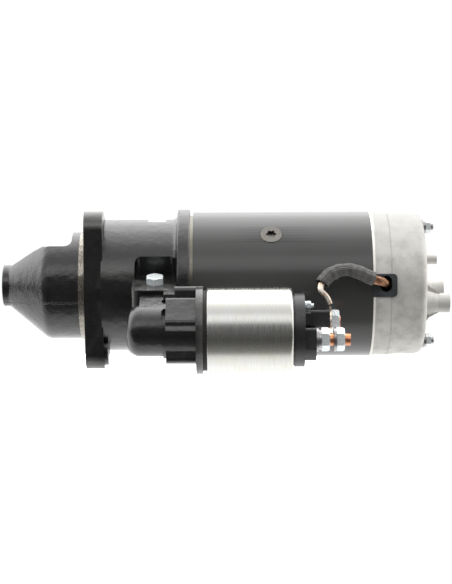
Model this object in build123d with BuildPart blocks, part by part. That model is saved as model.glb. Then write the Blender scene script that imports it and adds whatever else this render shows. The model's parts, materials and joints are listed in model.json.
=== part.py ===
from build123d import *
import os
from math import asin, atan2, cos, degrees, pi, radians, sin, tan

# A pre-engaged starter motor. The shaft axis is X with the drive end at -X, +Z is up and
# the solenoid is at -Y. The origin is the centre of the pilot at the flange's front face.

# ---------------------------------------------------------------- driving dimensions
# Clearances
seat_gap = 0.05
running_gap = 0.05
free_gap = 0.6

# Drive-end housing
pilot_radius = 44.5
pilot_length = 5.0
barrel_radius = 43.9
nose_length = 70.0
nose_radius = 17.1
nose_collar_length = 5.5
nose_slope = 39.6
nose_corner = 10.0
housing_wall = 7.5
flange_thickness = 15.0
flange_belly_radius = 50.0
bolt_circle_radius = 57.5
bolt_hole_radius = 5.5
ear_radius = 15.0
ear_pad_radius = 12.0
ear_pad_thickness = 3.2
first_ear_angle = 129.3
cast_edge = 1.8
neck_radius = 54.1
neck_length = 59.9
neck_wall = 8.0
neck_fillet = 5.0
rear_flange_radius = 62.3
rear_flange_thickness = 10.0
flat_height = 51.5
flat_length = 15.5

# Ring-gear window, which faces up and slightly back
window_angle = 65.0
window_front = -34.0
window_rear = -11.6
window_depth = 15.8
window_corner = 6.5
facet_foot = 9.9
facet_head = 16.2
facet_head_at = -44.0
facet_end = 17.4

# Intermediate plate and motor body
plate_thickness = 2.9
plate_radius = 57.0
plate_hub_radius = 17.0
plate_hub_length = 8.4
body_radius = 60.0
body_wall = 8.5
body_length = 144.4
pole_screw_at = 63.2
pole_screw_head_radius = 8.75
pole_screw_radius = 5.0
pole_screw_rim = 0.35
pole_count = 4
first_pole_angle = 48.0

# End cover
cover_length = 43.8
cover_rim_radius = 59.8
cover_radius = 59.3
cover_rear_radius = 58.0
cover_rim_length = 3.2
cover_corner = 6.0
cover_wall = 5.0
cover_end_wall = 6.0
notch_length = 19.1
notch_low = -11.0
notch_high = 7.5
cable_hole_width = 9.4
cable_hole_height = 13.0
cable_hole_at = 10.1

# Through studs
stud_radius = 3.0
stud_circle_radius = 47.2
stud_pad_height = 2.2
stud_washer_thickness = 2.1
stud_nut_height = 4.2
stud_nut_flats = 10.0
stud_tail = 2.5
stud_thread_length = 15.0

# Rear bosses, each with its place across the shaft axis
rear_boss_reach = 20.0
front_boss_place = (-31.0, -16.0)
front_boss_radius = 7.8
back_boss_place = (11.0, -6.0)
back_boss_radius = 8.0
small_boss_place = (38.0, 20.6)
small_boss_radius = 4.2
small_boss_reach = 18.0
boss_thread_radius = 4.0
boss_thread_depth = 14.0

# Solenoid
solenoid_spacing = 96.0
solenoid_tilt = 22.3
can_radius = 33.2
can_length = 66.9
can_wall = 2.8
can_edge = 3.0
can_plate = 7.6
gasket_thickness = 3.0
gasket_radius = 31.5
seat_overhang = 11.5
seat_flange_radius = 34.0
seat_flange_thickness = 5.4
dome_radius = 20.1
dome_lead = 20.3
dome_corner = 9.4
dome_wall = 5.5
core_setback = 7.5
core_radius = 22.0
lobe_reach = 26.0
lobe_half_width = 14.0
lobe_corner = 4.0
lobe_setback = 2.5
lobe_spread = 62.0
seat_screw_radius = 2.5
seat_screw_head_radius = 4.2
seat_screw_head = 4.0
seat_screw_circle = 20.0
seat_screw_recess = 7.5
bridge_half = 23.6
bridge_reach = 70.0
block_top = -1.6
block_front = -82.0
block_edge = 4.0

# Shift mechanism
plunger_travel = 12.0
plunger_arm = 42.0
pivot_setback = 17.2
pivot_bolt_radius = 4.0
pivot_head_flats = 13.0
pivot_head_height = 5.3
pocket_lead = 16.7
pocket_depth = 17.0
pocket_corner = 5.0
pocket_wall = 3.6
pocket_rear_gap = 0.9
slot_half = 11.0
lever_hub_radius = 9.0
lever_hub_half = 10.2
fork_plate = 3.0
pad_radius = 3.0
eye_radius = 4.0
eye_half = 3.5
plunger_radius = 12.5
plunger_length = 52.0
plunger_rod_radius = 7.0
solenoid_core_length = 23.0

# Drive
shaft_radius = 8.5
nose_journal_radius = 6.5
sleeve_radius = 12.0
collar_radius = 16.0
collar_length = 14.0
pinion_teeth = 10
pinion_module = 3.0
pinion_length = 20.0
pinion_front = -14.0
clutch_radius = 27.0
clutch_length = 24.0
clutch_tail = 6.0
roller_radius = 3.0
roller_count = 5

# Armature
core_outer_radius = 36.8
armature_core_length = 72.0
armature_core_at = 28.2
slot_count = 20
slot_width = 4.0
slot_depth = 10.0
end_winding_length = 12.0
commutator_radius = 23.0
commutator_length = 22.0
air_gap = 0.8
rear_journal_radius = 7.0
bush_wall = 3.0

# Solenoid cap and terminals, each place measured from the solenoid axis
cap_radius = 28.7
cap_height = 7.8
cap_gap = 1.2
battery_place = (-12.5, -7.0)
motor_place = (12.5, 6.5)
trigger_place = (-2.5, 19.3)
battery_pedestal = 8.6
motor_pedestal = 20.3
terminal_radius = 4.85
terminal_flats = 16.0

# Motor lead: the route of the conductor, chosen point by point, first measured from the
# motor stud and then from the body's skin beside the cable hole
conductor_radius = 3.4
lead_sleeve_radius = 5.6
lead_from_stud = [
    (0.0, 0.0, 13.5),
    (-1.8, 0.7, 19.3),
    (-8.8, 1.9, 25.3),
    (-3.2, 4.9, 34.3),
]
lead_from_hole = [
    (-41.7, -10.0, 9.4),
    (-33.1, -9.5, 11.2),
    (-23.9, -9.2, 9.4),
    (-13.3, -8.8, 4.2),
    (0.0, -4.6, -0.4),
    (0.0, 10.0, -0.4),
]
sleeve_first_corner = 3
sleeve_reach = 0.75
sleeve_last_corner = 7

# ---------------------------------------------------------------- derived stations
flange_rear = flange_thickness
neck_rear = flange_rear + neck_length
housing_rear = neck_rear + rear_flange_thickness
body_front = housing_rear + plate_thickness
body_rear = body_front + body_length
cover_rear = body_rear + cover_length
body_bore = body_radius - body_wall
seat_rear = housing_rear + seat_overhang
can_front = seat_rear + gasket_thickness
can_rear = can_front + can_length
can_bore = can_radius - can_wall
cap_front = can_rear + cap_gap
cap_rear = cap_front + cap_height
plunger_bore = plunger_radius + 0.6

collar_arm = solenoid_spacing - plunger_arm
half_swing = degrees(asin(plunger_travel / 2 / plunger_arm))
drive_travel = 2 * collar_arm * sin(radians(half_swing))
pivot_at = neck_rear - pivot_setback
dome_front = pivot_at - dome_lead
core_front = pivot_at + core_setback
pocket_front = pivot_at - pocket_lead
collar_at = pivot_at + drive_travel / 2
eye_at = pivot_at - plunger_travel / 2
hub_front = housing_rear - plate_hub_length

tilt = radians(solenoid_tilt)
toward_solenoid = Vector(0, -cos(tilt), -sin(tilt))
above_lever = Vector(0, -sin(tilt), cos(tilt))
solenoid_centre = toward_solenoid * solenoid_spacing
lever_plane = Plane(origin=(0, 0, 0), x_dir=(1, 0, 0), z_dir=-above_lever)
window_plane = Plane(
    origin=(0, 0, 0),
    x_dir=(1, 0, 0),
    z_dir=(0, -sin(radians(window_angle)), cos(radians(window_angle))),
)


# ---------------------------------------------------------------- helpers
def polar(radius, angle):
    """A local point at a radius and an angle in degrees."""
    return (radius * cos(radians(angle)), radius * sin(radians(angle)))


def across_shaft(station):
    """The plane across the shaft axis: local x is +Y and local y is +Z."""
    return Plane(origin=(station, 0, 0), x_dir=(0, 1, 0), z_dir=(1, 0, 0))


def across_solenoid(station, place=(0, 0), turn=0.0):
    """The plane across the solenoid axis, centred on a place beside it and turned by an angle."""
    middle = (station, solenoid_centre.Y + place[0], solenoid_centre.Z + place[1])
    return Plane(origin=middle, x_dir=(0, *polar(1, turn)), z_dir=(1, 0, 0))


def ring(plane, length, outer, inner=0.0, mode=Mode.ADD):
    """Adds or cuts a round disc or ring that grows from a plane."""
    with BuildSketch(plane) as section:
        Circle(outer)
        if inner:
            Circle(inner, mode=Mode.SUBTRACT)
    extrude(section.sketch, amount=length, mode=mode)


def shaft_ring(start, end, outer, inner=0.0, mode=Mode.ADD):
    """Adds or cuts a ring about the shaft axis between two stations."""
    ring(across_shaft(start), end - start, outer, inner, mode)


def solenoid_ring(start, end, outer, inner=0.0, mode=Mode.ADD, place=(0, 0)):
    """Adds or cuts a ring about the solenoid axis, or about a place beside it."""
    ring(across_solenoid(start, place), end - start, outer, inner, mode)


def turned(*outline, corners=(), centre=(0, 0, 0), mode=Mode.ADD):
    """Adds or cuts a solid of revolution about a line along X through the centre.

    The outline is (station, radius) points; corners is ((station, radius), fillet) pairs.
    """
    with BuildSketch(Plane(origin=centre, x_dir=(1, 0, 0), z_dir=(0, -1, 0))) as section:
        with BuildLine():
            Polyline(*outline, close=True)
        make_face()
        for point, rounding in corners:
            fillet(section.vertices().sort_by_distance((*point, 0))[0], radius=rounding)
    revolve(section.sketch, axis=Axis(centre, (1, 0, 0)), mode=mode)


def sector(plane, inner, outer, middle, half_angle):
    """A sketch of an annular sector about the plane's origin."""
    far = outer / cos(radians(half_angle)) + 1
    with BuildSketch(plane) as section:
        Circle(outer)
        Circle(inner, mode=Mode.SUBTRACT)
        with BuildSketch(mode=Mode.INTERSECT):
            with BuildLine():
                Polyline(
                    (0, 0),
                    (far * cos(radians(middle - half_angle)), far * sin(radians(middle - half_angle))),
                    (far * cos(radians(middle + half_angle)), far * sin(radians(middle + half_angle))),
                    close=True,
                )
            make_face()
    return section.sketch


def lever_block(x_range, reach_range, half_or_range, mode=Mode.ADD, rounding=0.0):
    """Adds or cuts a block in lever axes: along the shaft, towards the solenoid, across."""
    low, high = half_or_range if isinstance(half_or_range, tuple) else (-half_or_range, half_or_range)
    middle = ((x_range[0] + x_range[1]) / 2, (reach_range[0] + reach_range[1]) / 2)
    with BuildSketch(lever_plane.offset(-high)) as section:
        with Locations(middle):
            Rectangle(x_range[1] - x_range[0], reach_range[1] - reach_range[0])
        if rounding:
            fillet(section.vertices(), radius=rounding)
    extrude(section.sketch, amount=high - low, mode=mode)


def coil(radius, wire, start, end, turns, centre, direction):
    """Adds a helical spring along a direction, from start to end of its closed length."""
    length = end - start
    pitch = (length - 2 * wire) / turns
    axis = Vector(direction)
    base = Vector(centre) + axis * (start + wire)
    with BuildLine() as path:
        Helix(pitch=pitch, height=pitch * turns, radius=radius, center=base, direction=axis)
    with BuildSketch(Plane(origin=path.line @ 0, z_dir=path.line % 0)) as section:
        Circle(wire)
    sweep(section.sketch, path=path.line)


def save(builder, name):
    """Labels a finished piece and writes it to its own STEP file."""
    builder.part.label = name
    export_step(builder.part, f"parts/{name}.step")


os.makedirs("parts", exist_ok=True)
pole_angles = [first_pole_angle + 360 * step / pole_count for step in range(pole_count)]
stud_places = [(0, stud_circle_radius), (0, -stud_circle_radius)]

# ---------------------------------------------------------------- drive-end housing
nose_tip = -nose_length
nose_collar = nose_tip + nose_collar_length
barrel_start = nose_collar + (barrel_radius - nose_radius) / tan(radians(nose_slope))
cavity_front = window_front - 0.5
cavity_radius = barrel_radius - housing_wall
neck_bore = neck_radius - neck_wall
nose_bush_outer = nose_journal_radius + bush_wall + 0.5
nose_bush_front = nose_tip + 4
nose_bush_length = 16.0
stud_seat_start = housing_rear - stud_thread_length - 2
stud_seat_bore = stud_circle_radius - stud_radius - 2.5
pocket_rear = neck_rear - pocket_rear_gap
lowest_ear_angle = first_ear_angle + 120
outward_angle = 180 + solenoid_tilt
lobe_front = core_front + lobe_setback
lobe_angles = [outward_angle - lobe_spread, outward_angle + lobe_spread]
seat_screw_angles = [*lobe_angles, outward_angle - 2 * lobe_spread]
shaft_side_bore = dome_radius - dome_wall


seat_screw_places = [polar(seat_screw_circle, angle) for angle in seat_screw_angles]

with BuildPart() as drive_cavity:
    turned(
        (cavity_front, 0),
        (cavity_front, cavity_radius - 4),
        (cavity_front + 6, cavity_radius),
        (flange_rear - 7, cavity_radius),
        (flange_rear + 3, neck_bore),
        (stud_seat_start - 4, neck_bore),
        (stud_seat_start, stud_seat_bore),
        (housing_rear, stud_seat_bore),
        (housing_rear, 0),
    )
    lever_block(
        (pocket_front - pocket_wall, pocket_rear + pocket_wall),
        (collar_arm - pocket_depth - pocket_wall, neck_radius + 10),
        (bridge_half - pocket_wall, neck_radius),
        mode=Mode.SUBTRACT,
    )

with BuildPart() as drive_end_housing:
    turned(
        (nose_tip, 0),
        (nose_tip, nose_radius),
        (nose_collar, nose_radius),
        (barrel_start, barrel_radius),
        (-pilot_length, barrel_radius),
        (-pilot_length, pilot_radius),
        (0, pilot_radius),
        (0, 0),
        corners=[
            ((nose_tip, nose_radius), 1.2),
            ((nose_collar, nose_radius), 3.0),
            ((barrel_start, barrel_radius), nose_corner),
        ],
    )
    # The window's cut and the facet in front of it
    cut_top = pilot_radius + 10
    with BuildSketch(window_plane) as window_outline:
        with BuildLine():
            Polyline(
                (nose_collar, cut_top),
                (nose_collar, facet_foot),
                (facet_head_at, facet_head),
                (window_front, facet_end),
                (window_front, window_depth),
                (window_rear, window_depth),
                (window_rear, cut_top),
                close=True,
            )
        make_face()
        rear_corner = window_outline.vertices().sort_by_distance((window_rear, window_depth, 0))[0]
        fillet(rear_corner, radius=window_corner)
    extrude(amount=2 * pilot_radius, both=True, mode=Mode.SUBTRACT)
    # The flange with its ears
    with BuildSketch(across_shaft(0)):
        Circle(flange_belly_radius)
        with PolarLocations(bolt_circle_radius, 3, first_ear_angle):
            Circle(ear_radius)
        make_hull()
    extrude(amount=flange_thickness)
    # A pad behind the lowest ear
    with BuildSketch(across_shaft(flange_thickness - 1)):
        with Locations(polar(bolt_circle_radius, lowest_ear_angle)):
            Circle(ear_pad_radius)
    extrude(amount=ear_pad_thickness + 1)
    # The neck and its rear flange
    turned(
        (flange_rear - 1, 0),
        (flange_rear - 1, neck_radius),
        (neck_rear, neck_radius),
        (neck_rear, rear_flange_radius),
        (housing_rear, rear_flange_radius),
        (housing_rear, 0),
        corners=[
            ((neck_rear, neck_radius), neck_fillet),
            ((neck_rear, rear_flange_radius), cast_edge),
            ((housing_rear, rear_flange_radius), 0.8),
        ],
    )
    # The bridge, dome and core that carry the solenoid
    bridge_start = flange_belly_radius - 12
    lever_block((dome_front + 2, neck_rear), (bridge_start, bridge_reach), bridge_half, rounding=4)
    lever_block((dome_front + dome_corner, seat_rear), (flange_belly_radius, solenoid_spacing), dome_radius)
    turned(
        (dome_front, 0),
        (dome_front, dome_radius),
        (core_front + 1, dome_radius),
        (core_front + 1, 0),
        corners=[((dome_front, dome_radius), dome_corner)],
        centre=solenoid_centre,
    )
    solenoid_ring(core_front, seat_rear, core_radius)
    for angle in lobe_angles:
        with BuildSketch(across_solenoid(lobe_front, turn=angle)) as lobe_outline:
            with Locations((lobe_reach / 2, 0)):
                Rectangle(lobe_reach, 2 * lobe_half_width)
            fillet(lobe_outline.vertices().group_by(Axis.X)[-1], radius=lobe_corner)
        extrude(amount=seat_rear - lobe_front)
    with BuildSketch(across_shaft(core_front)) as block_outline:
        with BuildLine():
            Polyline(
                (-flange_belly_radius, block_top),
                (block_front, block_top),
                (block_front, solenoid_centre.Z),
                (-flange_belly_radius, solenoid_centre.Z),
                close=True,
            )
        make_face()
        near_top = block_outline.vertices().sort_by_distance((block_front, block_top, 0))[0]
        fillet(near_top, radius=block_edge)
    extrude(amount=seat_rear - core_front)
    solenoid_ring(seat_rear - seat_flange_thickness, seat_rear, seat_flange_radius)
    # Room for the motor body behind the rear flange
    shaft_ring(housing_rear, seat_rear, body_radius + 1.5, mode=Mode.SUBTRACT)
    # Hollows: the drive cavity, lever slot, solenoid bore, pocket and the flat
    add(drive_cavity.part, mode=Mode.SUBTRACT)
    lever_block(
        (dome_front + dome_wall + 1, neck_rear - 2),
        (cavity_radius - 6, solenoid_spacing),
        slot_half,
        mode=Mode.SUBTRACT,
    )
    solenoid_ring(dome_front + dome_wall, seat_rear, shaft_side_bore, mode=Mode.SUBTRACT)
    lever_block(
        (pocket_front, pocket_rear),
        (collar_arm - pocket_depth, bridge_reach + 20),
        (bridge_half, neck_radius + 10),
        mode=Mode.SUBTRACT,
        rounding=pocket_corner,
    )
    with BuildSketch(Plane.XY.offset(flat_height)):
        with Locations((pivot_at, 0)):
            Rectangle(flat_length, 2 * neck_radius)
    extrude(amount=neck_radius, mode=Mode.SUBTRACT)
    # Bores and holes
    nose_bush_rear = nose_bush_front + nose_bush_length
    shaft_ring(nose_bush_front, nose_bush_rear, nose_bush_outer + seat_gap, mode=Mode.SUBTRACT)
    shaft_ring(nose_bush_rear, cavity_front + 1, nose_bush_outer + 2, mode=Mode.SUBTRACT)
    with BuildSketch(across_shaft(0)):
        with PolarLocations(bolt_circle_radius, 3, first_ear_angle):
            Circle(bolt_hole_radius)
    extrude(amount=flange_thickness, mode=Mode.SUBTRACT)
    with BuildSketch(across_shaft(flange_thickness - 1)):
        with Locations(polar(bolt_circle_radius, lowest_ear_angle)):
            Circle(bolt_hole_radius)
    extrude(amount=ear_pad_thickness + 1, mode=Mode.SUBTRACT)
    with BuildSketch(across_shaft(stud_seat_start)):
        with Locations(*stud_places):
            Circle(stud_radius + seat_gap)
    extrude(amount=housing_rear - stud_seat_start, mode=Mode.SUBTRACT)
    with BuildSketch(lever_plane.offset(-bridge_half)):
        with Locations((pivot_at, collar_arm)):
            Circle(pivot_bolt_radius + seat_gap)
    extrude(amount=2 * bridge_half - 2, mode=Mode.SUBTRACT)
    for place in seat_screw_places:
        solenoid_ring(core_front, seat_rear, seat_screw_radius + 0.3, mode=Mode.SUBTRACT, place=place)
        recess_end = core_front + seat_screw_recess
        recess_radius = seat_screw_head_radius + 0.5
        solenoid_ring(core_front - 1, recess_end, recess_radius, mode=Mode.SUBTRACT, place=place)
save(drive_end_housing, "drive_end_housing")

with BuildPart() as nose_bush:
    shaft_ring(
        nose_bush_front,
        nose_bush_front + nose_bush_length,
        nose_bush_outer,
        nose_journal_radius + running_gap,
    )
save(nose_bush, "nose_bush")

# ---------------------------------------------------------------- intermediate plate
plate_bush_outer = shaft_radius + bush_wall + 1.5
with BuildPart() as intermediate_plate:
    shaft_ring(housing_rear, body_front, plate_radius)
    shaft_ring(hub_front, housing_rear, plate_hub_radius)
    shaft_ring(hub_front, body_front, plate_bush_outer + seat_gap, mode=Mode.SUBTRACT)
    with BuildSketch(across_shaft(housing_rear)):
        with Locations(*stud_places):
            Circle(stud_radius + 0.4)
    extrude(amount=plate_thickness, mode=Mode.SUBTRACT)
save(intermediate_plate, "intermediate_plate")

with BuildPart() as intermediate_bush:
    shaft_ring(hub_front, body_front, plate_bush_outer, shaft_radius + 1.5 + running_gap)
save(intermediate_bush, "intermediate_bush")

# ---------------------------------------------------------------- motor body and field
pole_at = body_front + pole_screw_at
pole_face_radius = core_outer_radius + air_gap
pole_face_thickness = 3.4
pole_length = armature_core_length - 8
pole_start = pole_at - pole_length / 2
countersink = pole_screw_head_radius - pole_screw_radius

with BuildPart() as motor_body:
    shaft_ring(body_front, body_rear, body_radius, body_bore)
    for angle in pole_angles:
        radial = Plane(origin=(pole_at, 0, 0), x_dir=(1, 0, 0), z_dir=(0, *polar(1, angle)))
        with BuildSketch(radial.offset(body_bore - 1)):
            Circle(pole_screw_radius + pole_screw_rim)
        extrude(amount=body_wall + 2, mode=Mode.SUBTRACT)
        with BuildSketch(radial.offset(body_radius - countersink)):
            Circle(pole_screw_radius + pole_screw_rim)
        with BuildSketch(radial.offset(body_radius + 0.2)):
            Circle(pole_screw_head_radius + pole_screw_rim + 0.2)
        loft(mode=Mode.SUBTRACT)
save(motor_body, "motor_body")

with BuildPart() as pole_shoes:
    for angle in pole_angles:
        face_rear_radius = pole_face_radius + pole_face_thickness
        extrude(
            sector(across_shaft(pole_start), pole_face_radius, face_rear_radius, angle, 30),
            amount=pole_length,
        )
        extrude(
            sector(across_shaft(pole_start), pole_face_radius + 1, body_bore - seat_gap, angle, 15),
            amount=pole_length,
        )
        radial = Plane(origin=(pole_at, 0, 0), x_dir=(1, 0, 0), z_dir=(0, *polar(1, angle)))
        with BuildSketch(radial.offset(pole_face_radius + 2)):
            Circle(pole_screw_radius + seat_gap)
        extrude(amount=body_wall + 10, mode=Mode.SUBTRACT)
save(pole_shoes, "pole_shoes")

with BuildPart() as pole_screws:
    for angle in pole_angles:
        radial = Plane(origin=(pole_at, 0, 0), x_dir=(1, 0, 0), z_dir=(0, *polar(1, angle)))
        with BuildSketch(radial.offset(pole_face_radius + 2.5)):
            Circle(pole_screw_radius)
        extrude(amount=body_radius - countersink - pole_face_radius - 2.5)
        with BuildSketch(radial.offset(body_radius - countersink)):
            Circle(pole_screw_radius)
        with BuildSketch(radial.offset(body_radius)):
            Circle(pole_screw_head_radius)
        loft()
        with BuildSketch(radial.offset(body_radius - 2.6)):
            Circle(3.4)
            with PolarLocations(3.4, 6):
                Circle(0.95)
        extrude(amount=4, mode=Mode.SUBTRACT)
save(pole_screws, "pole_screws")

coil_inner = pole_face_radius + pole_face_thickness + 0.3
coil_outer = body_bore - 0.4
coil_overhang = 11.0
with BuildPart() as field_coils:
    for angle in pole_angles:
        extrude(
            sector(across_shaft(pole_start - coil_overhang), coil_inner, coil_outer, angle, 33),
            amount=pole_length + 2 * coil_overhang,
        )
    for angle in pole_angles:
        extrude(
            sector(across_shaft(pole_start - 0.5), coil_inner - 2, coil_outer + 2, angle, 16),
            amount=pole_length + 1,
            mode=Mode.SUBTRACT,
        )
save(field_coils, "field_coils")

# ---------------------------------------------------------------- end cover
cover_bore = cover_radius - cover_wall
ledge_at = body_rear + 23.0
ledge_bore = cover_bore - 4.0
cover_end = cover_rear - cover_end_wall
rear_bush_outer = rear_journal_radius + bush_wall
rear_bush_start = cover_end - 10
rear_bush_length = 13.0
hub_outer = rear_bush_outer + 5
cable_hole_station = body_rear + cable_hole_at
notch_middle = (notch_low + notch_high) / 2
notch_height = notch_high - notch_low
front_plane = Plane(origin=(0, 0, 0), x_dir=(1, 0, 0), z_dir=(0, -1, 0))


def notch_section(plane, clearance):
    """The notch in the cover's rim, open towards the motor body."""
    length = notch_length - clearance
    with BuildSketch(plane) as section:
        with Locations((body_rear + length / 2, notch_middle)):
            Rectangle(length, notch_height - 2 * clearance)
        far = section.vertices().group_by(Axis.X)[-1]
        fillet(far, radius=3)
    return section.sketch


with BuildPart() as end_cover:
    turned(
        (body_rear, 0),
        (body_rear, cover_rim_radius),
        (body_rear + cover_rim_length, cover_rim_radius),
        (body_rear + cover_rim_length, cover_radius),
        (cover_rear, cover_rear_radius),
        (cover_rear, 0),
        corners=[((cover_rear, cover_rear_radius), cover_corner)],
    )
    turned(
        (body_rear, 0),
        (body_rear, cover_bore),
        (ledge_at, cover_bore),
        (ledge_at, ledge_bore),
        (cover_end, ledge_bore),
        (cover_end, 0),
        mode=Mode.SUBTRACT,
    )
    shaft_ring(rear_bush_start, cover_end + 0.5, hub_outer)
    # Bosses on the rear face, with webs beside the front one
    for place, radius, reach in (
        (front_boss_place, front_boss_radius, rear_boss_reach),
        (back_boss_place, back_boss_radius, rear_boss_reach),
        (small_boss_place, small_boss_radius, small_boss_reach),
    ):
        with BuildSketch(across_shaft(cover_rear - 1)):
            with Locations(place):
                Circle(radius)
        extrude(amount=reach + 1)
        with BuildSketch(across_shaft(cover_rear - 0.5)):
            with Locations(place):
                Circle(radius + 3.5)
        with BuildSketch(across_shaft(cover_rear + reach * 0.55)):
            with Locations(place):
                Circle(radius - 0.2)
        loft()
    with BuildSketch(Plane.XZ.offset(-front_boss_place[0] - 2.5)):
        with BuildLine():
            Polyline(
                (cover_rear - 1, front_boss_place[1] - 17),
                (cover_rear + 3, front_boss_place[1] - 12),
                (cover_rear + rear_boss_reach - 4, front_boss_place[1] - 5),
                (cover_rear + rear_boss_reach - 4, front_boss_place[1] + 5),
                (cover_rear + 3, front_boss_place[1] + 14),
                (cover_rear - 1, front_boss_place[1] + 18),
                close=True,
            )
        make_face()
    extrude(amount=5)
    for y, z in stud_places:
        with BuildSketch(across_shaft(cover_rear - 3)):
            with Locations((y, z)):
                Circle(stud_nut_flats * 0.62)
        extrude(amount=stud_pad_height + 3)
    with BuildSketch(across_shaft(cover_rear - cover_length)):
        with Locations(*stud_places):
            Circle(stud_radius + 0.4)
    extrude(amount=cover_length + stud_pad_height + 1, mode=Mode.SUBTRACT)
    for place in (front_boss_place, back_boss_place):
        with BuildSketch(across_shaft(cover_rear + rear_boss_reach - boss_thread_depth)):
            with Locations(place):
                Circle(boss_thread_radius)
        extrude(amount=boss_thread_depth + 1, mode=Mode.SUBTRACT)
    rear_bush_end = rear_bush_start + rear_bush_length
    shaft_ring(rear_bush_start, rear_bush_end, rear_bush_outer + seat_gap, mode=Mode.SUBTRACT)
    extrude(notch_section(front_plane.offset(40), 0), amount=30, mode=Mode.SUBTRACT)
save(end_cover, "end_cover")

with BuildPart() as rear_bush:
    shaft_ring(
        rear_bush_start,
        rear_bush_start + rear_bush_length,
        rear_bush_outer,
        rear_journal_radius + running_gap,
    )
save(rear_bush, "rear_bush")

with BuildPart() as grommet:
    extrude(notch_section(front_plane.offset(40), 0.15), amount=30)
    shaft_ring(body_rear, cover_rear, cover_radius + 1.2, cover_bore - 2, mode=Mode.INTERSECT)
    with BuildSketch(front_plane.offset(40)):
        with Locations((cable_hole_station, -0.4)):
            SlotOverall(cable_hole_height, cable_hole_width, rotation=90)
    extrude(amount=30, mode=Mode.SUBTRACT)
save(grommet, "grommet")

# ---------------------------------------------------------------- brush gear
brush_plate_thickness = 2.0
brush_length = 18.0
brush_width = 9.0
brush_height = 14.0
brush_gap = 0.3
brush_rear = ledge_at - brush_plate_thickness - 1.2
brush_front = brush_rear - brush_length
holder_wall = 1.5
holder_low = commutator_radius + 2.5
holder_high = holder_low + 17.0
brush_low = commutator_radius + brush_gap

with BuildPart() as brush_plate:
    shaft_ring(ledge_at - brush_plate_thickness, ledge_at, cover_bore - seat_gap, hub_outer + 1)
    with BuildSketch(across_shaft(ledge_at - brush_plate_thickness)):
        with Locations(*stud_places):
            Circle(stud_radius + 0.4)
    extrude(amount=brush_plate_thickness, mode=Mode.SUBTRACT)
save(brush_plate, "brush_plate")


def brush_box(angle, length_range, width, low, high, mode=Mode.ADD):
    """Adds or cuts a radial block at an angle about the shaft axis."""
    middle = (length_range[0] + length_range[1]) / 2
    plane = Plane(origin=(middle, 0, 0), x_dir=(1, 0, 0), z_dir=(0, *polar(1, angle))).offset(low)
    with BuildSketch(plane) as section:
        Rectangle(length_range[1] - length_range[0], width)
    extrude(section.sketch, amount=high - low, mode=mode)


with BuildPart() as brush_holders:
    for angle in pole_angles:
        outer_range = (brush_front - holder_wall, ledge_at - brush_plate_thickness)
        brush_box(angle, outer_range, brush_width + 2 * holder_wall, holder_low, holder_high)
        inner_range = (brush_front - 0.2, brush_rear + 0.2)
        opening_end = holder_high - holder_wall
        brush_box(angle, inner_range, brush_width + 0.4, holder_low - 1, opening_end, Mode.SUBTRACT)
save(brush_holders, "brush_holders")

with BuildPart() as brushes:
    for angle in pole_angles:
        brush_box(angle, (brush_front, brush_rear), brush_width, brush_low - 1, brush_low + brush_height)
    shaft_ring(brush_front - 1, brush_rear + 1, brush_low, mode=Mode.SUBTRACT)
save(brushes, "brushes")

spring_low = brush_low + brush_height + 0.1
spring_high = holder_high - holder_wall - 0.1
with BuildPart() as brush_springs:
    for angle in pole_angles:
        along = (0, *polar(1, angle))
        middle = ((brush_front + brush_rear) / 2, 0, 0)
        coil(3.0, 0.4, spring_low, spring_high, 1.5, middle, along)
save(brush_springs, "brush_springs")

# ---------------------------------------------------------------- through studs
pad_rear = cover_rear + stud_pad_height
nut_front = pad_rear + stud_washer_thickness
stud_end = nut_front + stud_nut_height + stud_tail
with BuildPart() as through_studs:
    with BuildSketch(across_shaft(stud_seat_start + 1)):
        with Locations(*stud_places):
            Circle(stud_radius)
    extrude(amount=stud_end - stud_seat_start - 1)
    chamfer(through_studs.edges().group_by(Axis.X)[-1], length=0.6)
save(through_studs, "through_studs")

with BuildPart() as stud_washers:
    with BuildSketch(across_shaft(pad_rear)):
        with Locations(*stud_places):
            Circle(stud_nut_flats * 0.56)
            Circle(stud_radius + seat_gap, mode=Mode.SUBTRACT)
    extrude(amount=stud_washer_thickness)
save(stud_washers, "stud_washers")


def hex_nut(plane, flats, height, bore=0.0, mode=Mode.ADD):
    """Adds a hexagon nut or bolt head that grows from a plane, its corners chamfered."""
    corner = flats / 2 / cos(radians(30))
    with BuildSketch(plane) as section:
        RegularPolygon(flats / 2, 6, major_radius=False, rotation=30)
        if bore:
            Circle(bore, mode=Mode.SUBTRACT)
    with BuildSketch(plane) as foot:
        Circle(corner + 0.35 * height)
    with BuildSketch(plane.offset(height)) as crown:
        Circle(corner - 0.12 * height)
    blank = extrude(section.sketch, amount=height, mode=Mode.PRIVATE)
    cone = loft([foot.sketch.face(), crown.sketch.face()], mode=Mode.PRIVATE)
    add(blank & cone, mode=mode)


with BuildPart() as stud_nuts:
    for place in stud_places:
        nut_seat = Plane(origin=(nut_front, *place), x_dir=(0, 1, 0), z_dir=(1, 0, 0))
        hex_nut(nut_seat, stud_nut_flats, stud_nut_height, stud_radius + seat_gap)
save(stud_nuts, "stud_nuts")

# ---------------------------------------------------------------- armature
armature_start = body_front + armature_core_at
armature_end = armature_start + armature_core_length
commutator_start = brush_front - 4
commutator_end = commutator_start + commutator_length
mid_journal_radius = shaft_radius + 1.5
core_seat_radius = mid_journal_radius + 1.5
slot_bottom = core_outer_radius - slot_depth
stop_ring_at = pinion_front - drive_travel - free_gap
stop_ring_length = 2.5
spline_start = clutch_tail + 8
spline_depth = 1.0

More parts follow.
